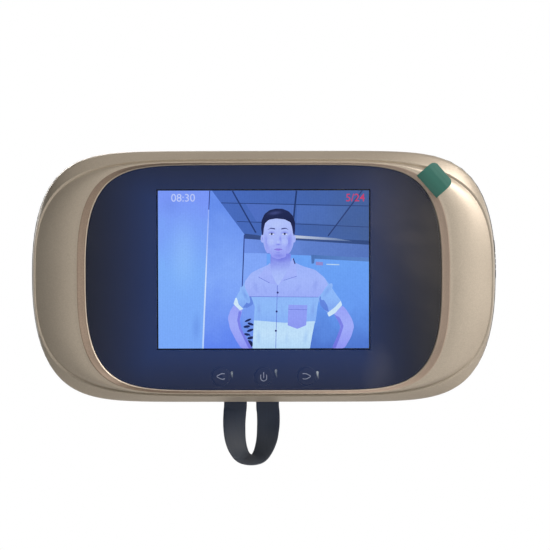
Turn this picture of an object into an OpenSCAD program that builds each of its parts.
// Peephole door camera: an indoor monitor that hangs on a clamped bracket, and an outdoor camera
// with a bell button, joined through the door by a threaded barrel and a flat ribbon cable.
// Frame: X to the right, Z up, the monitor faces -Y. The origin is on the peephole axis, on the
// door's indoor face. Sizes are in millimetres.

/* [Monitor casing] */
// Width of the monitor casing at the seam
monitor_w = 127; // [126:0.5:136]
// Height of the monitor casing at the seam
monitor_h = 69; // [68.5:0.5:76]
// Depth of the rear shell, from its flat back to the seam
rear_depth = 11; // [10.5:0.25:13]
// How far the rim stands in front of the seam
front_rise = 8; // [7.5:0.25:9]
// Wall of both shells
wall = 1.8; // [1.5:0.1:2]
// How far the rear shell stands out past the front shell at the sides of the seam
seam_step = 0.3; // [0.1:0.05:0.5]
// Gap between the back of the monitor and the door
door_gap = 1.5; // [1.4:0.1:2]
// Width of the gold band beside the window
side_band = 15; // [14:0.25:16]
// Height of the gold band above and below the window
edge_band = 3.8; // [3.6:0.1:4.2]

/* [Window and display] */
// Thickness of the window panel
window_t = 1.8; // [1.5:0.1:2]
// How far the window lies behind the rim
window_inset = 1.1; // [0.8:0.1:1.3]
// Width of the lit picture
screen_w = 57.6; // [54:0.2:58]
// Height of the lit picture
screen_h = 43.2; // [40:0.2:43.4]
// Height of the picture's centre above the window's centre
screen_rise = 2.2; // [1.6:0.1:2.4]
// Thickness of the display glass
lcd_glass_t = 1.4; // [1.2:0.1:1.6]
// Thickness of the display's backlight tray
backlight_t = 2.4; // [2.2:0.1:2.6]
// Thickness of the circuit boards
board_t = 1.2; // [1:0.1:1.6]
// Thickness of the clear protective film
film_t = 0.12; // [0.08:0.01:0.2]

/* [Keys] */
// Radius of a key cap
key_r = 2.5; // [2.2:0.1:2.7]
// Distance between neighbouring keys
key_pitch = 11.7; // [10:0.1:13]
// Height of the key row above the window's lower edge
key_margin = 3.7; // [3.4:0.1:4]
// Travel of a key
key_travel = 0.4; // [0.2:0.05:0.5]
// Length of the power slider's cap
slider_l = 10.4; // [8:0.2:12]
// Height of the power slider above the middle of the casing
slider_rise = 4.5; // [2:0.5:8]
// Travel of the power slider
slider_travel = 2; // [1.5:0.1:2.5]

/* [Batteries] */
// Radius of a battery cell
cell_r = 5.2; // [5:0.05:5.25]
// Length of a battery cell over its terminal
cell_l = 44.5; // [43:0.1:44.6]
// Thickness of a battery cover
cover_t = 1.4; // [1.2:0.1:1.6]

/* [Bracket and clamp] */
// Width of the bracket's base plate
bracket_w = 40; // [36:0.5:41]
// Height of the bracket's base plate
bracket_h = 30; // [29:0.5:31]
// Sheet thickness of the bracket
bracket_t = 1.2; // [1:0.1:1.4]
// How far the monitor lifts to come off the bracket
lift = 9; // [8.5:0.25:9.5]
// Outer radius of the clamp sleeve, which fills the hole in the door
sleeve_r = 7; // [6.9:0.1:7.5]
// Length of the clamp sleeve inside the door
sleeve_l = 28; // [24:0.5:30]
// Thread radius of the barrel
barrel_r = 5.8; // [5.6:0.05:6]
// Bore radius of the barrel
barrel_bore_r = 4.6; // [4.2:0.1:4.7]
// Length of the barrel inside the door
barrel_l = 38; // [36:0.5:42]
// Thread pitch of the barrel
thread_pitch = 1; // [0.8:0.1:1.25]
// Thickness of the door between the two units, as drawn
door_t = 45; // [40:1:55]

/* [Outdoor unit] */
// Width of the outdoor unit
outdoor_w = 42; // [41:0.5:46]
// Height of the outdoor unit
outdoor_h = 62; // [61:0.5:66]
// Depth of the outdoor unit from the door to its rim
outdoor_depth = 15; // [14.5:0.25:17]
// Radius of the camera lens barrel
lens_r = 4; // [3.5:0.1:4.2]
// Height of the lens above the barrel's axis
lens_rise = 13; // [12.5:0.25:13.5]
// Radius of the bell button
bell_r = 8; // [7:0.1:8.4]
// Drop of the bell button below the barrel's axis
bell_drop = 13; // [12.5:0.25:13.5]
// Travel of the bell button
bell_travel = 0.8; // [0.5:0.1:1]
// Radius of an infrared lamp
led_r = 1.5; // [1.2:0.1:1.6]
// Thickness of the door gasket
gasket_t = 1.2; // [1:0.1:1.6]

/* [Ribbon cable] */
// Width of the flat ribbon
ribbon_w = 6.4; // [5:0.1:6.8]
// Thickness of the flat ribbon
ribbon_t = 0.4; // [0.3:0.05:0.5]

/* [Hidden] */

// Number of points on a casing outline
outline_steps = 96;
$fn = 48;

// Clearances
seat_gap = 0.1;
run_gap = 0.1;
slide_gap = 0.3;
cut = 1;

// Bow of each outline: the powers of a superellipse across and up
outer_bow = [7.7, 2.3];
crease_bow = [5.1, 2.8];
window_bow = [6.7, 2.9];
outdoor_bow = [3, 3];

// Half sizes of the monitor's outlines
outer = [monitor_w / 2, monitor_h / 2];
rear = outer + [seam_step, 0];
inner = outer - [wall, wall];
crease = outer - [0.5, 2];
window = outer - [side_band, edge_band];
rim = window + [2.4, 0.85];
ledge = window - [2, 1.2];

// Levels of the monitor, counted from the door towards the viewer
back_z = door_gap;
seam_z = back_z + rear_depth;
rim_z = seam_z + front_rise;
window_front_z = rim_z - window_inset;
window_back_z = window_front_z - window_t;
ledge_t = 1.5;
ledge_z = window_back_z - ledge_t;
lcd_front_z = window_back_z - seat_gap;
lcd_mid_z = lcd_front_z - lcd_glass_t;
lcd_back_z = lcd_mid_z - backlight_t;
frame_t = 1.2;
frame_top_z = lcd_back_z - seat_gap;
frame_z = frame_top_z - frame_t;
chip_space = 1.2;
board_front_z = frame_z - chip_space;
board_rear_z = board_front_z - board_t;
floor_t = 1.7;
floor_z = back_z + floor_t;

// Front shell: wall height, crease step and swell of the dish
front_wall_h = 1.6;
crease_side_h = front_rise - 3.8;
crease_top_h = front_rise - 1.2;
crease_step = 0.22;
dish_swell = 2.4;
dish_rings = 6;

// Casing for which the display's sizes are given. The display takes up what the casing gains: in
// height all of it, and in width the room between the cells, which stay in the casing's ends.
drawn_casing = [127, 69];
bay_wall = 1.2;
bay_inset = [1.8, 1.5];
room_grow = corner_room([monitor_w, monitor_h]) - corner_room(drawn_casing);
picture = [screen_w + 2 * room_grow, screen_h + monitor_h - drawn_casing[1]];

// Display
lcd_side = 2.7;
lcd_top = 2.2;
lcd_bottom = 4;
lcd_w = picture[0] + 2 * lcd_side;
lcd_low = screen_rise - picture[1] / 2 - lcd_bottom;
lcd_high = screen_rise + picture[1] / 2 + lcd_top;
flex_w = 24;
flex_t = 0.3;
flex_foot = 4;
flex_y = lcd_high + 0.2;

// Keys and their switches
key_y = key_margin - window[1];
key_flange = [7.2, 4.4];
key_flange_t = 0.6;
key_dish_r = 6;
stem_r = 1.2;
switch_size = 6;
switch_h = 3;
plunger_r = 1.7;
plunger_stand = 0.7;
plunger_top_z = board_front_z + switch_h + plunger_stand;
plunger_l = 1.5;
switch_well_z = plunger_top_z - plunger_l - key_travel - 0.2;

// Battery bays
bay_roof = 0.8;
bay_in = lcd_w / 2 + 0.8 + bay_wall;
cell_pitch = 2 * cell_r + 0.15;
cell_x = [bay_in + seat_gap + cell_r, bay_in + seat_gap + cell_r + cell_pitch];
bay_out = cell_x[1] + cell_r + 0.2;
contact_t = 0.5;
spring_h = 1.9;
bay_half_h = cell_l / 2 + spring_h + contact_t + 0.1;
cover_in = bay_in - 2;
cover_out = bay_out + 2;
cover_half_h = bay_half_h + 1.2;
cover_edge = rear - [5.2, 5.2];
cell_z = back_z + cover_t + 0.3 + cell_r;
bay_top_z = cell_z + cell_r + 0.2;
bay_limit = inner - bay_inset;

// Board, frame and case screws
screw_x = lcd_w / 2 - 3;
screw_y = window[1] - 2.4;
board_half = [bay_in - bay_wall - 0.6, screw_y + 2.1];
boss_r = 3;
post_r = 2;
screw_r = 1;
screw_head_r = 1.9;
screw_head_h = 1.4;
screw_seat_z = back_z + 2.2;
screw_tip_z = ledge_z - 0.8;

// Recess for the bracket, and the lips that hold its ears
recess_depth = 4.5;
recess_half_w = bracket_w / 2 + 5;
recess_low = -(bracket_h / 2 + lift - 1);
recess_high = bracket_h / 2 + 5;
recess_z = back_z + recess_depth;
recess_wall = 1.4;
ear_w = 3.6;
ear_l = 7;
ear_high = bracket_h / 2 - 2;
ear_z = back_z + 1.6 + slide_gap;
lip_l = ear_l + 1;
lip_x = bracket_w / 2 + bracket_t + slide_gap;

// Speaker
speaker_low = recess_high + recess_wall + 0.4;
speaker_size = [20, inner[1] - 1.5 - speaker_low, 3.6];
speaker_y = speaker_low + speaker_size[1] / 2;
speaker_slots = 5;

// Memory card
card = [11, 15, 1];
card_x = screw_x - boss_r - 3 - card[0] / 2;
card_end_y = 1 - rear[1];
card_z = board_rear_z - 1.1;

// Ribbon socket and its flip latch
socket = [9.4, 5.2, 2.2];
socket_x = -7.8;
socket_y = -13.2;
socket_z = board_rear_z - socket[2];
tongue_l = 3.2;
latch_r = 0.4;
latch_l = 1.5;
latch_t = 0.6;
latch_y = socket_y + socket[1] - 0.5;
latch_z = socket_z - 0.5;
latch_ear = 0.8;

// Power slider on the right edge
slider_z = back_z + 6.5;
slider_w = 3;
slider_stand = 0.3;
slider_stem = [3.4, 2];
switch_body = [3.3, 9, 4];
switch_x = inner[0] - 0.5 - switch_body[0];

// Clamp sleeve
flange_r = 11;
flange_t = 1.6;
flange_z = bracket_t + 0.05;
neck_r = sleeve_r + 0.2;
thread_depth = 0.45;

// Outdoor unit, counted outwards from the face on the door
shell_half = [outdoor_w / 2, outdoor_h / 2];
shell_in = shell_half - [wall, wall];
plate_half = shell_half - [4, 4];
base_t = 2;
base_o = gasket_t + base_t;
barrel_flange_r = 9.5;
barrel_flange_t = 1.5;
outdoor_boss = shell_in - [8.2, 7.2];
camera_board_o = base_o + barrel_flange_t + 1.5;
camera_front_o = camera_board_o + board_t;
plate_t = 1.6;
plate_back_o = outdoor_depth - 0.7 - plate_t;
plate_front_o = plate_back_o + plate_t;
outdoor_ledge_t = 1.2;
bell_flange_t = 1;
bell_flange_o = plate_back_o - 0.05 - bell_flange_t;
bell_plunger_top_o = camera_front_o + switch_h + bell_travel;
bell_well_o = bell_plunger_top_o - plunger_l - bell_travel - 0.1;
led_count = 6;
holder_half = lens_r + 2.4;
led_ring_r = holder_half + led_r + 1.5;

// Ribbon loop, in the part's own frame: place and turn of the ribbon's width.
// Turn 0 has the width to the right, 90 towards the viewer and 180 to the left.
ribbon_tilt = 20;
ribbon_route = [
  [0, 5, 0, 0], [0, 0.5, 0, 0], [0, -2.6, -0.3, 0], [0.1, -4, -1.4, 0], [0.3, -4.7, -3.4, 0],
  [0.5, -4.7, -7, 0], [0.7, -3.9, -11.4, 0], [0.9, -2.2, -15.4, 0], [1, -0.9, -19.6, 0],
  [1, -0.75, -24, 0], [0.9, -0.75, -36, 0], [1.1, -0.8, -39, 1], [1.15, -1.1, -41.7, 8],
  [1, -1.7, -44, 18], [0.75, -2.1, -46, 26], [0.25, -2.5, -47.9, 36], [-0.4, -2.85, -49.5, 45],
  [-1.15, -3.1, -50.75, 54], [-1.9, -3.4, -51.45, 64], [-2.7, -3.65, -51.75, 76],
  [-3.65, -3.8, -51.85, 89], [-4.6, -3.7, -51.75, 102], [-5.5, -3.4, -51.45, 114],
  [-6.3, -3.05, -50.8, 124], [-7, -2.75, -49.7, 133], [-7.7, -2.4, -48, 143],
  [-8.15, -2.05, -46, 152], [-8.35, -1.7, -43.8, 160], [-8.4, -1.3, -41.5, 166],
  [-8.25, -0.95, -38.8, 175], [-8.05, -0.75, -36, 180], [-7.8, -0.75, -24.5, 180],
  [-7.8, -0.95, -21.2, 180], [-7.8, -2.6, -18.6, 180],
  [-7.8, -5.4, -16.7, 180], [-7.8, -7.7, -15.3, 180], [-7.8, -8.6, -14.5, 180],
  [-7.8, -8.8, -13.8, 180], [-7.8, -8.8, -13.2, 180]
];
strip_start = ribbon_route[0][1] + 0.05;

// Colours
gold = "#b6a88e";
black = "#26262a";
dark_glass = "#1a1c24";
steel = "#b8babd";
brass = "#b8975a";
board_green = "#1f5a3c";
white_plastic = "#e6e6e2";
ribbon_grey = "#3a414b";

// Distance from the middle to a superellipse of unit half sizes, along one direction
function reach(c, s, bow, low = 0.9, high = 1.5, tries = 26) =
  let (mid = (low + high) / 2)
  tries == 0 ? mid
  : pow(mid * c, bow[0]) + pow(mid * s, bow[1]) > 1 ? reach(c, s, bow, low, mid, tries - 1)
  : reach(c, s, bow, mid, high, tries - 1);

// Half width left inside the shells, at the ends of the cells, by a casing of some size
function corner_room(casing) =
  let (limit = casing / 2 - [wall, wall] - bay_inset - [bay_wall, bay_wall])
  limit[0] * pow(1 - pow(cell_l / 2 / limit[1], outer_bow[1]), 1 / outer_bow[0]);

// Points of a superellipse outline
function outline(half, bow) = [
  for (i = [0 : outline_steps - 1])
    let (t = 360 * i / outline_steps, r = reach(abs(cos(t)), abs(sin(t)), bow))
    [half[0] * r * cos(t), half[1] * r * sin(t)]
];

// An outline lifted to a height that may differ between the sides and the top and bottom
function ring(half, bow, side, top) =
  let (points = outline(half, bow), crown = is_undef(top) ? side : top)
  [for (i = [0 : outline_steps - 1])
    [points[i][0], points[i][1], side + (crown - side) * pow(sin(360 * i / outline_steps), 2)]];

// Triangles between rings of count points, closed round or left open at the ends
function loft_faces(rings, count, closed) = [
  for (r = [0 : rings - (closed ? 1 : 2)], i = [0 : count - 1])
    let (low = r * count, high = (r + 1) % rings * count, next = (i + 1) % count)
    each [[low + i, high + i, low + next], [low + next, high + i, high + next]]
];

// A solid whose rings run round a closed section
module ring_loft(rings) {
  polyhedron([for (r = rings) each r], loft_faces(len(rings), len(rings[0]), true), 10);
}

// A solid between a first and a last ring
module sweep(rings) {
  count = len(rings[0]);
  last = (len(rings) - 1) * count;
  start_cap = [for (i = [1 : count - 2]) [0, i, i + 1]];
  end_cap = [for (i = [1 : count - 2]) [last, last + i + 1, last + i]];
  faces = concat(loft_faces(len(rings), count, false), start_cap, end_cap);
  polyhedron([for (r = rings) each r], faces, 10);
}

function unit(v) = v / norm(v);
function place(station) = [station[0], station[1], station[2]];

// Direction of a route at one of its stations
function heading(route, i) =
  unit(place(route[min(i + 1, len(route) - 1)]) - place(route[max(i - 1, 0)]));

// Section of a flat strip with bevelled edges, square to its run
function strip_ring(at, run, across, half_w, half_t) =
  let (w = unit(across - (across * run) * run), n = cross(run, w), e = half_t * 0.6)
  [for (p = [
      [half_w, -half_t + e], [half_w, half_t - e], [half_w - e, half_t], [e - half_w, half_t],
      [-half_w, half_t - e], [-half_w, e - half_t], [e - half_w, -half_t], [half_w - e, -half_t]
    ]) at + p[0] * w + p[1] * n];

// Width direction of the ribbon at a turn
function ribbon_across(turn) =
  [cos(turn), -sin(turn) * cos(ribbon_tilt), -sin(turn) * sin(ribbon_tilt)];

// Round section of a wire, square to its run
function wire_ring(at, run, wire_r, sides) =
  let (w = unit(cross(run, [0.3, 0.5, 0.8])), n = cross(run, w))
  [for (i = [0 : sides - 1])
    at + wire_r * (cos(360 * i / sides) * w + sin(360 * i / sides) * n)];

// Lay a child drawn on the bench, face up, into the frame: its Z then points at the viewer
module upright() {
  rotate([90, 0, 0]) children();
}

// The same for the outdoor unit, whose Z then points away from the door
module outward() {
  translate([0, door_t, 0]) rotate([90, 0, 180]) children();
}

// A plate of superellipse outline between two levels
module slab(half, bow, low, high) {
  translate([0, 0, low]) linear_extrude(high - low) polygon(outline(half, bow));
}

// A box given by its corners
module block(low, high) {
  translate(low) cube(high - low);
}

module rod(at, r, low, high) {
  translate([at[0], at[1], low]) cylinder(r = r, h = high - low);
}

// Children repeated at the four case screws
module at_case_screws() {
  for (x = [-screw_x, screw_x], y = [-screw_y, screw_y]) translate([x, y, 0]) children();
}

module at_keys() {
  for (i = [-1 : 1]) translate([i * key_pitch, key_y, 0]) children();
}

// A screw standing on the bench, head down, with a cross slot in its head
module screw(seat, tip, shank_r) {
  slot = 0.5;
  difference() {
    union() {
      rod([0, 0], screw_head_r, seat - screw_head_h, seat);
      rod([0, 0], shank_r, seat, tip);
    }
    for (turn = [0, 90])
      rotate(turn) block(
        [-screw_head_r * 0.7, -slot / 2, seat - screw_head_h - cut],
        [screw_head_r * 0.7, slot / 2, seat - screw_head_h + slot]
      );
  }
}

// Gold front shell: wall, bevel, crease, dish, rim, window pocket and ledge, then its inside
module front_shell() {
  dish_from = crease - [0.3, 0.3];
  dish_to = rim + [0.3, 0.15];
  dish_low = [crease_side_h - 0.05, crease_top_h - crease_step];
  dish = [
    for (k = [0 : dish_rings])
      let (s = k / dish_rings, swell = 1 - pow(1 - s, dish_swell))
      ring(
        dish_from * (1 - s) + dish_to * s,
        crease_bow * (1 - s) + window_bow * s,
        seam_z + dish_low[0] * (1 - swell) + (front_rise - 0.06) * swell,
        seam_z + dish_low[1] * (1 - swell) + (front_rise - 0.06) * swell
      )
  ];
  pocket = window + [seat_gap, seat_gap];
  color(gold) upright() ring_loft(concat(
    [
      ring(outer, outer_bow, seam_z),
      ring(outer, outer_bow, seam_z + front_wall_h),
      ring(outer - [0.12, 0.35], outer_bow, seam_z + crease_side_h * 0.72),
      ring(crease, crease_bow, seam_z + crease_side_h, seam_z + crease_top_h)
    ],
    dish,
    [
      ring(rim, window_bow, rim_z),
      ring(rim - [0.4, 0.2], window_bow, rim_z - 0.12),
      ring(pocket, window_bow, window_front_z + 0.05),
      ring(pocket, window_bow, window_back_z),
      ring(ledge, window_bow, window_back_z),
      ring(ledge, window_bow, ledge_z),
      ring(window + [0.4, -0.3], window_bow, ledge_z),
      ring(window + [5, 0.2], window_bow, ledge_z + 1.8, ledge_z),
      ring(inner - [1.7, 1.1], outer_bow, seam_z + 3, seam_z + 2.8),
      ring(inner, outer_bow, seam_z + front_wall_h),
      ring(inner, outer_bow, seam_z)
    ]
  ));
}

module window_panel() {
  color(dark_glass) upright() difference() {
    slab(window, window_bow, window_back_z, window_front_z);
    at_keys() rod([0, 0], key_r + run_gap, window_back_z - cut, window_front_z + cut);
  }
}

module protective_film() {
  color("#dfe6ea", 0.4) upright()
    slab(window - [0.3, 0.3], window_bow, window_front_z, window_front_z + film_t);
}

// Green tab that peels the film off, bent over the rim at the upper right corner
module film_pull_tab() {
  tab_t = 0.15;
  tab_turn = 41.5;
  tab_inset = [5.56, 7.18];
  over_film = film_t + tab_t / 2 + 0.02;
  over_rim = window_inset + tab_t / 2 + 0.05;
  stations = [
    [0, over_film, 8.1], [0.2, over_film, 8.1], [1.3, over_rim, 8.1], [3.4, over_rim + 0.05, 8.1],
    [6, over_rim - 0.15, 8.1], [7.3, over_rim - 0.45, 7.8], [8, over_rim - 0.65, 6.8],
    [8.3, over_rim - 0.75, 5.6]
  ];
  line = [for (s = stations) [s[0], 0, window_front_z + s[1]]];
  color("#3f7a66") upright() translate(window - tab_inset) rotate(tab_turn)
    sweep([
      for (i = [0 : len(line) - 1])
        strip_ring(line[i], heading(line, i), [0, 1, 0], stations[i][2] / 2, tab_t / 2)
    ]);
}

// A key cap with a dished face, two retaining wings and a stem down to its switch
module key_cap(i) {
  face_z = window_front_z - 0.1;
  dish_rise = sqrt(pow(key_dish_r, 2) - pow(key_r - 0.4, 2));
  wing_z = window_back_z - 0.05;
  color(dark_glass) upright() translate([i * key_pitch, key_y, 0]) difference() {
    union() {
      rod([0, 0], key_r, wing_z - key_flange_t, face_z);
      block(
        [-key_flange[0] / 2, -key_flange[1] / 2, wing_z - key_flange_t],
        [key_flange[0] / 2, key_flange[1] / 2, wing_z]
      );
      rod([0, 0], stem_r, plunger_top_z, wing_z);
    }
    translate([0, 0, face_z + dish_rise]) sphere(r = key_dish_r);
  }
}

module left_key() { key_cap(-1); }
module power_key() { key_cap(0); }
module right_key() { key_cap(1); }

module key_plunger(i) {
  color(black) upright()
    rod([i * key_pitch, key_y], plunger_r, plunger_top_z - plunger_l, plunger_top_z);
}

module left_plunger() { key_plunger(-1); }
module power_plunger() { key_plunger(0); }
module right_plunger() { key_plunger(1); }

// Square switch body with a well for its plunger
module switch_body_at(low, well) {
  difference() {
    translate([-switch_size / 2, -switch_size / 2, low]) cube([switch_size, switch_size, switch_h]);
    rod([0, 0], plunger_r + run_gap, well, low + switch_h + cut);
  }
}

module key_switches() {
  color("#55575b") upright() at_keys() switch_body_at(board_front_z, switch_well_z);
}

module lcd_glass() {
  color("#394a63") upright()
    block([-lcd_w / 2, lcd_low, lcd_mid_z], [lcd_w / 2, lcd_high, lcd_front_z]);
}

module lcd_backlight() {
  color(white_plastic) upright()
    block([-lcd_w / 2, lcd_low, lcd_back_z], [lcd_w / 2, lcd_high, lcd_mid_z]);
}

// Flexible strip from the display's upper edge to the board
module lcd_flex() {
  foot_z = board_front_z + 0.1;
  color("#c0792f") upright() union() {
    block([-flex_w / 2, flex_y, foot_z], [flex_w / 2, flex_y + flex_t, lcd_front_z - 0.3]);
    block([-flex_w / 2, flex_y - flex_foot, foot_z], [flex_w / 2, flex_y + flex_t, foot_z + flex_t]);
  }
}

// Inner frame between display and board, with four posts for the case screws
module mid_frame() {
  hole = switch_size / 2 + 0.4;
  color("#77797d") upright() difference() {
    union() {
      block(
        [-board_half[0], -board_half[1], frame_z], [board_half[0], board_half[1], frame_top_z]
      );
      at_case_screws() rod([0, 0], post_r, frame_z, ledge_z);
      at_case_screws() rod([0, 0], post_r, board_front_z, frame_z);
    }
    at_keys() block([-hole, -hole - cut, frame_z - cut], [hole, hole, frame_top_z + cut]);
    block(
      [-flex_w / 2 - 0.5, flex_y - 0.4, frame_z - cut],
      [flex_w / 2 + 0.5, flex_y + flex_t + 0.4, frame_top_z + cut]
    );
    at_case_screws() rod([0, 0], screw_r + seat_gap, board_front_z - cut, screw_tip_z + 0.2);
  }
}

module main_board() {
  color(board_green) upright() difference() {
    block(
      [-board_half[0], -board_half[1], board_rear_z], [board_half[0], board_half[1], board_front_z]
    );
    at_case_screws() rod([0, 0], screw_r + 0.2, board_rear_z - cut, board_front_z + cut);
  }
}

// Chips on the rear of the board: place as a share of the board's half sizes, size and height
module board_chips() {
  chips = [
    [0.44, 0.13, 10, 10, 1], [0.44, 0.53, 6, 8, 0.9], [-0.5, 0.2, 7, 7, 1],
    [-0.57, 0.59, 8, 5, 0.9], [-0.7, -0.2, 5, 4, 1.4], [0.06, 0.33, 4, 4, 1.2],
    [0.79, -0.33, 6, 4, 1.2], [0.82, 0.26, 4, 4, 1.4], [-0.5, -0.79, 6, 5, 1.2]
  ];
  color("#1d1e20") upright() for (c = chips)
    translate([c[0] * board_half[0], c[1] * board_half[1], board_rear_z])
      block([-c[2] / 2, -c[3] / 2, -c[4]], [c[2] / 2, c[3] / 2, 0]);
}

// Speaker on the floor of the rear shell, behind its sound slots
module speaker_frame() {
  half = [speaker_size[0] / 2, speaker_size[1] / 2];
  rib = 1.2;
  color(black) upright() translate([0, speaker_y, 0]) difference() {
    block([-half[0], -half[1], floor_z], [half[0], half[1], floor_z + speaker_size[2]]);
    block(
      [rib - half[0], rib - half[1], floor_z - cut],
      [half[0] - rib, half[1] - rib, floor_z + speaker_size[2] + cut]
    );
  }
}

module speaker_cone() {
  half = [speaker_size[0] / 2 - 1.3, speaker_size[1] / 2 - 1.3];
  dome_r = 0.7 * half[1];
  dome_x = 1.25 * dome_r;
  cone_z = floor_z + 0.8;
  color("#4b4640") upright() translate([0, speaker_y, 0]) union() {
    block([-half[0], -half[1], cone_z], [half[0], half[1], cone_z + 0.5]);
    for (x = [-dome_x, dome_x]) rod([x, 0], dome_r, cone_z - 0.4, cone_z);
  }
}

module speaker_magnet() {
  half = [speaker_size[0] / 2 - 4, speaker_size[1] / 2 - 1.3];
  color(steel) upright() translate([0, speaker_y, 0])
    block([-half[0], -half[1], floor_z + 1.35], [half[0], half[1], floor_z + speaker_size[2]]);
}

// Socket for the memory card on the rear of the board
module card_socket() {
  lid = 0.3;
  side = 0.5;
  low_y = card_end_y + 4;
  high_y = card_end_y + card[1] + 1;
  half = card[0] / 2 + 0.1 + side;
  color(steel) upright() translate([card_x, 0, 0]) difference() {
    block([-half, low_y, card_z - card[2] / 2 - 0.1 - lid], [half, high_y, board_rear_z]);
    block(
      [side - half, low_y - cut, card_z - card[2] / 2 - 0.1],
      [half - side, card_end_y + card[1] + 0.2, card_z + card[2] / 2 + 0.1]
    );
  }
}

module memory_card() {
  color(black) upright() translate([card_x, card_end_y, 0])
    block([-card[0] / 2, 0, card_z - card[2] / 2], [card[0] / 2, card[1], card_z + card[2] / 2]);
}

// Flat cable socket with two ears for its latch
module ribbon_socket() {
  ear = [latch_ear, 1.6, 1.3];
  mouth_half = ribbon_w / 2 + 0.2;
  color("#d8d2c4") upright() translate([socket_x, 0, 0]) difference() {
    union() {
      block(
        [-socket[0] / 2, socket_y, socket_z], [socket[0] / 2, socket_y + socket[1], board_rear_z]
      );
      for (side = [-1, 1])
        translate([side * (socket[0] + ear[0]) / 2, latch_y, socket_z])
          block([-ear[0] / 2, -ear[1] / 2, -ear[2]], [ear[0] / 2, ear[1] / 2, 0.6]);
    }
    translate([0, latch_y, latch_z]) rotate([0, 90, 0])
      cylinder(r = latch_r + 0.05, h = 2 * socket[0], center = true);
    block(
      [-mouth_half, socket_y - cut, socket_z + 0.7],
      [mouth_half, socket_y + tongue_l + 0.2, socket_z + 1.3]
    );
  }
}

// Flip latch: a bar on an axle that turns in the socket's ears
module socket_latch() {
  half = socket[0] / 2 - 0.2;
  color(black) upright() translate([socket_x, latch_y, latch_z]) union() {
    rotate([0, 90, 0]) cylinder(r = latch_r, h = socket[0] + 2 * latch_ear, center = true);
    block([-half, -latch_l, -latch_t / 2], [half, 0, latch_t / 2]);
  }
}

module ribbon_tongue() {
  color("#3a63a8") upright() translate([socket_x, socket_y, socket_z + 1])
    block([-ribbon_w / 2, 0, -0.15], [ribbon_w / 2, tongue_l, 0.15]);
}

// Body of the power switch, against the right wall
module power_switch() {
  color(steel) upright() translate([switch_x, slider_rise - switch_body[1] / 2, slider_z - 2])
    cube(switch_body);
}

// Slider that follows the curve of the right edge and stands a little proud of it
module power_slider() {
  skin = 0.3;
  stem_out = rear[0] - 0.6;
  ridge = 0.25;
  color(black) upright() union() {
    difference() {
      intersection() {
        slab(
          rear + [slider_stand, slider_stand], outer_bow,
          slider_z - slider_w / 2, slider_z + slider_w / 2
        );
        translate([0, slider_rise - slider_l / 2, 0]) cube([monitor_w, slider_l, 2 * seam_z]);
      }
      slab(rear - [skin, skin], outer_bow, 0, 2 * seam_z);
      for (k = [-2 : 2])
        translate([rear[0] + slider_stand - ridge, slider_rise + k * slider_l / 7, 0])
          cube([cut, 0.4, 2 * seam_z]);
    }
    block(
      [switch_x + switch_body[0] + 0.1, slider_rise - slider_stem[0] / 2, slider_z - slider_stem[1] / 2],
      [stem_out + 0.25, slider_rise + slider_stem[0] / 2, slider_z + slider_stem[1] / 2]
    );
  }
}

// Four cells, two in each end of the casing, laid head to tail
module battery_cells() {
  nub = [1.9, 1.1];
  color("#2f5f8f") upright() for (side = [-1, 1], k = [0, 1])
    translate([side * cell_x[k], 0, cell_z]) rotate([k == 0 ? 90 : -90, 0, 0])
      union() {
        translate([0, 0, -cell_l / 2]) cylinder(r = cell_r, h = cell_l - nub[1]);
        translate([0, 0, cell_l / 2 - nub[1]]) cylinder(r = nub[0], h = nub[1]);
      }
}

// Conical contact springs behind the flat end of each cell
module battery_springs() {
  turns = 2.5;
  wire_r = 0.2;
  steps = 20;
  wide_r = 3.4;
  tip_r = 2;
  helix = [
    for (i = [0 : steps])
      let (s = i / steps, r = wide_r * (1 - s) + tip_r * s, t = 360 * turns * s)
      [r * cos(t), r * sin(t), wire_r + (spring_h - 2 * wire_r) * s]
  ];
  rings = [for (i = [0 : steps]) wire_ring(helix[i], heading(helix, i), wire_r, 6)];
  color(steel) upright() for (side = [-1, 1], k = [0, 1])
    translate([side * cell_x[k], (k == 0 ? 1 : -1) * (cell_l / 2 + spring_h + 0.05), cell_z])
      rotate([k == 0 ? 90 : -90, 0, 0]) sweep(rings);
}

// Sprung and flat contact plates at both ends of the bays
module battery_contacts() {
  half = cell_r - 2;
  plate_y = bay_half_h - contact_t;
  nub_stand = spring_h;
  color(steel) upright() for (side = [-1, 1], k = [0, 1]) {
    spring_end = k == 0 ? 1 : -1;
    translate([side * cell_x[k], 0, cell_z]) {
      translate([-half, spring_end > 0 ? plate_y : -bay_half_h, -half])
        cube([2 * half, contact_t, 2 * half]);
      translate([-half, spring_end > 0 ? -bay_half_h : plate_y, -half])
        cube([2 * half, contact_t, 2 * half]);
      rotate([spring_end > 0 ? 90 : -90, 0, 0])
        translate([0, 0, plate_y - nub_stand]) cylinder(r = 1.5, h = nub_stand);
    }
  }
}

// Outline of a battery cover on one side, grown by a clearance
module cover_plate(side, grow, low, high) {
  intersection() {
    slab(cover_edge + [grow, grow], outer_bow, low, high);
    translate([side > 0 ? cover_in - grow : -cover_out - grow, -cover_half_h - grow, low])
      cube([cover_out - cover_in + 2 * grow, 2 * (cover_half_h + grow), high - low]);
  }
}

// A battery cover with finger grooves near its outer end
module battery_cover(side) {
  groove_l = 14;
  groove_depth = 0.5;
  color(black) upright() difference() {
    cover_plate(side, 0, back_z, back_z + cover_t);
    for (k = [0 : 3])
      translate([side * (cover_out - 5 - 1.8 * k), -groove_l / 2, back_z - cut])
        cube([0.8, groove_l, cut + groove_depth]);
  }
}

module left_battery_cover() { battery_cover(-1); }
module right_battery_cover() { battery_cover(1); }

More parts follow.
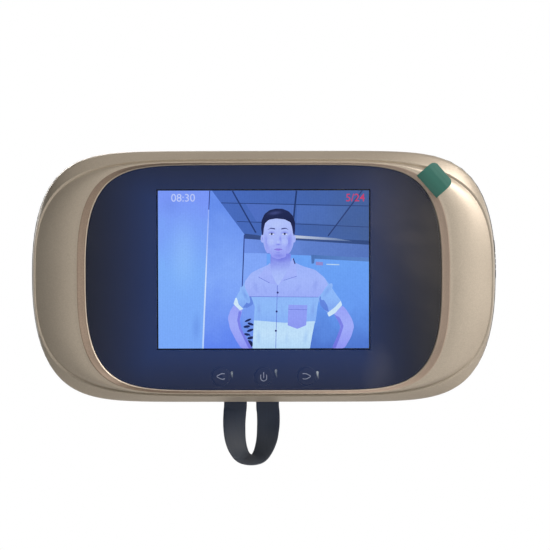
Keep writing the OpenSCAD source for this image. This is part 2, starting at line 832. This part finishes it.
// Walls round the cells on one side, or the space inside them
module bay(side, grow, low, high, limit) {
  from = side > 0 ? bay_in - grow : -bay_out - grow;
  intersection() {
    slab(limit, outer_bow, low, high);
    translate([from, -bay_half_h - grow, low])
      cube([bay_out - bay_in + 2 * grow, 2 * (bay_half_h + grow), high - low]);
  }
}

// Black rear shell: a rounded tub with the bracket recess, battery bays, bosses and openings
module rear_shell() {
  tub = [
    ring(rear - [3.6, 3.4], outer_bow, back_z),
    ring(rear - [2.2, 2.1], outer_bow, back_z + 0.4),
    ring(rear - [0.9, 1], outer_bow, back_z + 1.5),
    ring(rear - [0.2, 0.55], outer_bow, back_z + 3.5),
    ring(rear, outer_bow, seam_z)
  ];
  recess_out = recess_half_w + recess_wall;
  color(black) upright() union() {
    difference() {
      union() {
        difference() {
          sweep(tub);
          slab(inner, outer_bow, floor_z, seam_z + cut);
        }
        block(
          [-recess_out, recess_low - recess_wall, back_z + 0.5],
          [recess_out, recess_high + recess_wall, recess_z + recess_wall]
        );
        for (side = [-1, 1]) {
          bay(side, bay_wall, back_z + 0.5, seam_z, inner + [0.2, 0.2]);
          bay(side, bay_wall, seam_z - cut, bay_top_z + bay_wall, bay_limit);
        }
        at_case_screws() rod([0, 0], boss_r, floor_z - 0.5, board_rear_z);
      }
      block([-recess_half_w, recess_low, back_z - cut], [recess_half_w, recess_high, recess_z]);
      for (side = [-1, 1]) {
        bay(side, 0, back_z + cover_t, seam_z - bay_roof, inner);
        bay(side, 0, seam_z - bay_roof - cut, bay_top_z, bay_limit - [bay_wall, bay_wall]);
        cover_plate(side, seat_gap, back_z - cut, back_z + cover_t + 0.05);
      }
      at_case_screws() {
        rod([0, 0], screw_r + 0.2, back_z - cut, board_rear_z + cut);
        rod([0, 0], screw_head_r + 0.2, back_z - cut, screw_seat_z);
      }
      sound_slots();
      slider_cut();
      card_half = [card[0] / 2 + slide_gap, card[2] / 2 + slide_gap];
      translate([card_x, -monitor_h, card_z])
        block([-card_half[0], 0, -card_half[1]], [card_half[0], monitor_h / 2 + 5, card_half[1]]);
      socket_half = socket[0] / 2 + latch_ear + 0.5;
      translate([socket_x, 0, 0])
        block(
          [-socket_half, socket_y - 5.4, recess_z - cut],
          [socket_half, socket_y + socket[1] + 1.2, recess_z + recess_wall + cut]
        );
    }
    bracket_lips();
  }
}

module sound_slots() {
  slot = [1.4, speaker_size[1] - 3];
  gap = 3.2;
  for (k = [0 : speaker_slots - 1])
    translate([(k - (speaker_slots - 1) / 2) * gap - slot[0] / 2, speaker_y - slot[1] / 2, back_z - cut])
      cube([slot[0], slot[1], floor_t + 2 * cut]);
}

// Pocket for the slider's cap and slot for its stem
module slider_cut() {
  pocket = 0.6;
  low = slider_rise - slider_l / 2 - slider_travel - slide_gap;
  high = slider_rise + slider_l / 2 + slide_gap;
  half_w = slider_w / 2 + 0.2;
  stem = [slider_stem[0] / 2 + slide_gap, slider_stem[1] / 2 + slide_gap];
  difference() {
    block([0, low, slider_z - half_w], [monitor_w, high, slider_z + half_w]);
    slab(rear - [pocket, pocket], outer_bow, 0, 2 * seam_z);
  }
  block(
    [inner[0] - cut, slider_rise - stem[0] - slider_travel, slider_z - stem[1]],
    [monitor_w, slider_rise + stem[0], slider_z + stem[1]]
  );
}

// Lips behind the bracket's ears, each with a stop that rests on top of its ear
module bracket_lips() {
  for (side = [-1, 1], top = [ear_high, ear_l - ear_high]) {
    from = side > 0 ? lip_x : -recess_half_w - 0.2;
    width = recess_half_w + 0.2 - lip_x;
    translate([from, top - lip_l + 0.5, back_z]) cube([width, lip_l, ear_z - back_z - slide_gap]);
    translate([from, top + 0.05, back_z]) cube([width, 1.2, recess_depth + 0.2]);
  }
}

module case_screws() {
  color(steel) upright() at_case_screws() screw(screw_seat_z, screw_tip_z, screw_r);
}

// Steel bracket on the door: a drilled plate with four raised ears
module mounting_bracket() {
  color(steel) upright() difference() {
    union() {
      block([-bracket_w / 2, -bracket_h / 2, 0], [bracket_w / 2, bracket_h / 2, bracket_t]);
      for (side = [0, 1], top = [ear_high, ear_l - ear_high]) mirror([side, 0, 0]) {
        block(
          [bracket_w / 2 - 0.5, top - ear_l, 0], [bracket_w / 2 + bracket_t, top, ear_z + bracket_t]
        );
        block(
          [bracket_w / 2, top - ear_l, ear_z], [bracket_w / 2 + ear_w, top, ear_z + bracket_t]
        );
      }
    }
    rod([0, 0], neck_r + 0.08, -cut, bracket_t + cut);
  }
}

// Flanged nut whose sleeve fills the hole in the door, with two spanner notches
module clamp_sleeve() {
  notch = [3, 2.6];
  color(brass) upright() difference() {
    union() {
      rod([0, 0], flange_r, flange_z, flange_z + flange_t);
      rod([0, 0], neck_r, 0, flange_z + flange_t);
      rod([0, 0], sleeve_r, -sleeve_l, flange_z);
    }
    rod([0, 0], barrel_r + run_gap, -sleeve_l - cut, flange_z + flange_t + cut);
    for (side = [-1, 1])
      translate([side * flange_r - notch[1], -notch[0] / 2, flange_z - cut])
        cube([2 * notch[1], notch[0], flange_t + 2 * cut]);
  }
}

// Free loop of the flat ribbon, from the barrel down behind the monitor and up to its socket
module ribbon_loop() {
  color(ribbon_grey) sweep([
    for (i = [0 : len(ribbon_route) - 1])
      strip_ring(
        place(ribbon_route[i]), heading(ribbon_route, i), ribbon_across(ribbon_route[i][3]),
        ribbon_w / 2, ribbon_t / 2
      )
  ]);
}

// Straight stretch of the ribbon inside the barrel
module barrel_ribbon() {
  color(ribbon_grey)
    block(
      [-ribbon_w / 2, strip_start, -ribbon_t / 2],
      [ribbon_w / 2, door_t + camera_board_o + board_t / 2, ribbon_t / 2]
    );
}

// Threaded barrel with a flange that the outdoor base holds
module barrel_tube() {
  root_r = barrel_r - thread_depth;
  start = -barrel_l;
  threads = floor((barrel_l - 2) / thread_pitch);
  profile = concat(
    [[barrel_bore_r, start], [root_r, start]],
    [
      for (k = [0 : threads - 1]) each [
        [barrel_r, start + (k + 0.5) * thread_pitch], [root_r, start + (k + 1) * thread_pitch]
      ]
    ],
    [
      [barrel_r, start + (threads + 0.5) * thread_pitch], [barrel_r, base_o],
      [barrel_flange_r, base_o], [barrel_flange_r, base_o + barrel_flange_t],
      [barrel_bore_r, base_o + barrel_flange_t]
    ]
  );
  color(brass) outward() rotate_extrude() polygon(profile);
}

module door_gasket() {
  color("#2b2b2b") outward() difference() {
    slab(shell_half - [1, 1], outdoor_bow, 0, gasket_t);
    rod([0, 0], barrel_r + slide_gap, -cut, gasket_t + cut);
  }
}

module at_outdoor_bosses() {
  for (x = [-outdoor_boss[0], outdoor_boss[0]], y = [-outdoor_boss[1], outdoor_boss[1]])
    translate([x, y, 0]) children();
}

module outdoor_base() {
  color(black) outward() difference() {
    union() {
      slab(shell_in - [seat_gap, seat_gap], outdoor_bow, gasket_t, base_o);
      at_outdoor_bosses() rod([0, 0], 2.2, base_o - 0.5, camera_board_o);
    }
    rod([0, 0], barrel_r + run_gap, gasket_t - cut, base_o + cut);
    at_outdoor_bosses() rod([0, 0], screw_r, base_o + 0.3, camera_board_o + cut);
  }
}

// Gold outdoor shell, rounded to a rim round the face plate
module outdoor_shell() {
  pocket = plate_half + [seat_gap, seat_gap];
  sill = plate_half - [1.6, 1.6];
  color(gold) outward() ring_loft([
    ring(shell_half, outdoor_bow, gasket_t),
    ring(shell_half, outdoor_bow, gasket_t + 3.8),
    ring(shell_half - [0.6, 0.6], outdoor_bow, outdoor_depth - 4.5),
    ring(shell_half - [1.8, 1.8], outdoor_bow, outdoor_depth - 1.2),
    ring(plate_half + [1, 1], outdoor_bow, outdoor_depth - 0.1),
    ring(plate_half + [0.6, 0.6], outdoor_bow, outdoor_depth),
    ring(pocket, outdoor_bow, plate_front_o),
    ring(pocket, outdoor_bow, plate_back_o),
    ring(sill, outdoor_bow, plate_back_o),
    ring(sill, outdoor_bow, plate_back_o - outdoor_ledge_t),
    ring(shell_in - [0.8, 0.8], outdoor_bow, plate_back_o - outdoor_ledge_t - 1.3),
    ring(shell_in, outdoor_bow, gasket_t + 4.5),
    ring(shell_in, outdoor_bow, gasket_t)
  ]);
}

// Places of the infrared lamps round the lens
module at_lamps() {
  for (k = [0 : led_count - 1])
    translate([0, lens_rise, 0]) rotate(30 + 360 * k / led_count) translate([led_ring_r, 0, 0])
      children();
}

module face_plate() {
  color(dark_glass) outward() difference() {
    slab(plate_half, outdoor_bow, plate_back_o, plate_front_o);
    rod([0, lens_rise], lens_r + slide_gap, plate_back_o - cut, plate_front_o + cut);
    rod([0, -bell_drop], bell_r + run_gap, plate_back_o - cut, plate_front_o + cut);
    at_lamps() rod([0, 0], led_r + run_gap, plate_back_o - cut, plate_front_o + cut);
  }
}

module camera_board() {
  color(board_green) outward() difference() {
    slab(shell_in - [1.6, 1.6], outdoor_bow, camera_board_o, camera_front_o);
    at_outdoor_bosses() rod([0, 0], screw_r + 0.2, camera_board_o - cut, camera_front_o + cut);
    block(
      [-ribbon_w / 2 - 0.3, -ribbon_t / 2 - 0.2, camera_board_o - cut],
      [ribbon_w / 2 + 0.3, ribbon_t / 2 + 0.2, camera_front_o + cut]
    );
  }
}

module outdoor_screws() {
  tip = base_o + 0.5;
  color(steel) outward() at_outdoor_bosses() mirror([0, 0, 1])
    screw(-camera_front_o, -tip, screw_r - 0.1);
}

module image_sensor() {
  half = 3;
  color("#24303a") outward() translate([0, lens_rise, 0])
    block([-half, -half, camera_front_o], [half, half, camera_front_o + 0.8]);
}

module lens_holder() {
  chamber = 3.4;
  top = plate_back_o - 1.5;
  color(black) outward() translate([0, lens_rise, 0]) difference() {
    block([-holder_half, -holder_half, camera_front_o], [holder_half, holder_half, top]);
    block(
      [-chamber, -chamber, camera_front_o - cut], [chamber, chamber, camera_front_o + 1.4]
    );
    rod([0, 0], lens_r + 0.05, camera_front_o + 1.4, top + cut);
  }
}

module lens_barrel() {
  color("#17181a") outward() translate([0, lens_rise, 0]) difference() {
    rod([0, 0], lens_r, camera_front_o + 1.5, plate_front_o + 0.3);
    rod([0, 0], lens_r - 0.8, plate_front_o - 0.6, plate_front_o + cut);
    rod([0, 0], lens_r - 1.8, camera_front_o + 1, plate_front_o);
  }
}

// Domed front element of the lens
module lens_glass() {
  element_r = lens_r - 0.85;
  dome_r = 6;
  edge_o = plate_front_o - 0.2;
  dome_drop = sqrt(pow(dome_r, 2) - pow(element_r, 2));
  color("#5b7890") outward() translate([0, lens_rise, 0]) intersection() {
    rod([0, 0], element_r, plate_front_o - 0.6, plate_front_o + 2);
    translate([0, 0, edge_o - dome_drop]) sphere(r = dome_r);
  }
}

module infrared_lamps() {
  dome_o = plate_front_o - led_r + 0.5;
  color("#3b2f3a") outward() at_lamps() union() {
    rod([0, 0], led_r, camera_front_o, dome_o);
    translate([0, 0, dome_o]) sphere(r = led_r);
  }
}

module bell_switch() {
  color("#55575b") outward() translate([0, -bell_drop, 0])
    switch_body_at(camera_front_o, bell_well_o);
}

module bell_plunger() {
  color(black) outward()
    rod([0, -bell_drop], plunger_r, bell_plunger_top_o - plunger_l, bell_plunger_top_o);
}

// Bell button with a dished face, a retaining flange and a stem on its switch
module bell_button() {
  face_o = outdoor_depth + 0.4;
  dish_r = 24;
  dish_rise = sqrt(pow(dish_r, 2) - pow(bell_r - 1, 2));
  color(white_plastic) outward() translate([0, -bell_drop, 0]) difference() {
    union() {
      rod([0, 0], bell_r, bell_flange_o, face_o);
      rod([0, 0], bell_r + 1, bell_flange_o, bell_flange_o + bell_flange_t);
      rod([0, 0], stem_r, bell_plunger_top_o, bell_flange_o + 0.5);
    }
    translate([0, 0, face_o + dish_rise]) sphere(r = dish_r);
  }
}

module bell_ring() {
  color(steel) outward() translate([0, -bell_drop, 0]) difference() {
    rod([0, 0], bell_r + 2.2, plate_front_o, outdoor_depth);
    rod([0, 0], bell_r + 0.4, plate_front_o - cut, outdoor_depth + cut);
  }
}

front_shell();
window_panel();
protective_film();
film_pull_tab();
left_key();
power_key();
right_key();
left_plunger();
power_plunger();
right_plunger();
key_switches();
lcd_glass();
lcd_backlight();
lcd_flex();
mid_frame();
main_board();
board_chips();
speaker_frame();
speaker_cone();
speaker_magnet();
card_socket();
memory_card();
ribbon_socket();
socket_latch();
power_switch();
power_slider();
battery_cells();
battery_springs();
battery_contacts();
left_battery_cover();
right_battery_cover();
rear_shell();
case_screws();
mounting_bracket();
clamp_sleeve();
ribbon_loop();
ribbon_tongue();
barrel_ribbon();
barrel_tube();
door_gasket();
outdoor_base();
outdoor_shell();
face_plate();
camera_board();
outdoor_screws();
image_sensor();
lens_holder();
lens_barrel();
lens_glass();
infrared_lamps();
bell_switch();
bell_plunger();
bell_button();
bell_ring();
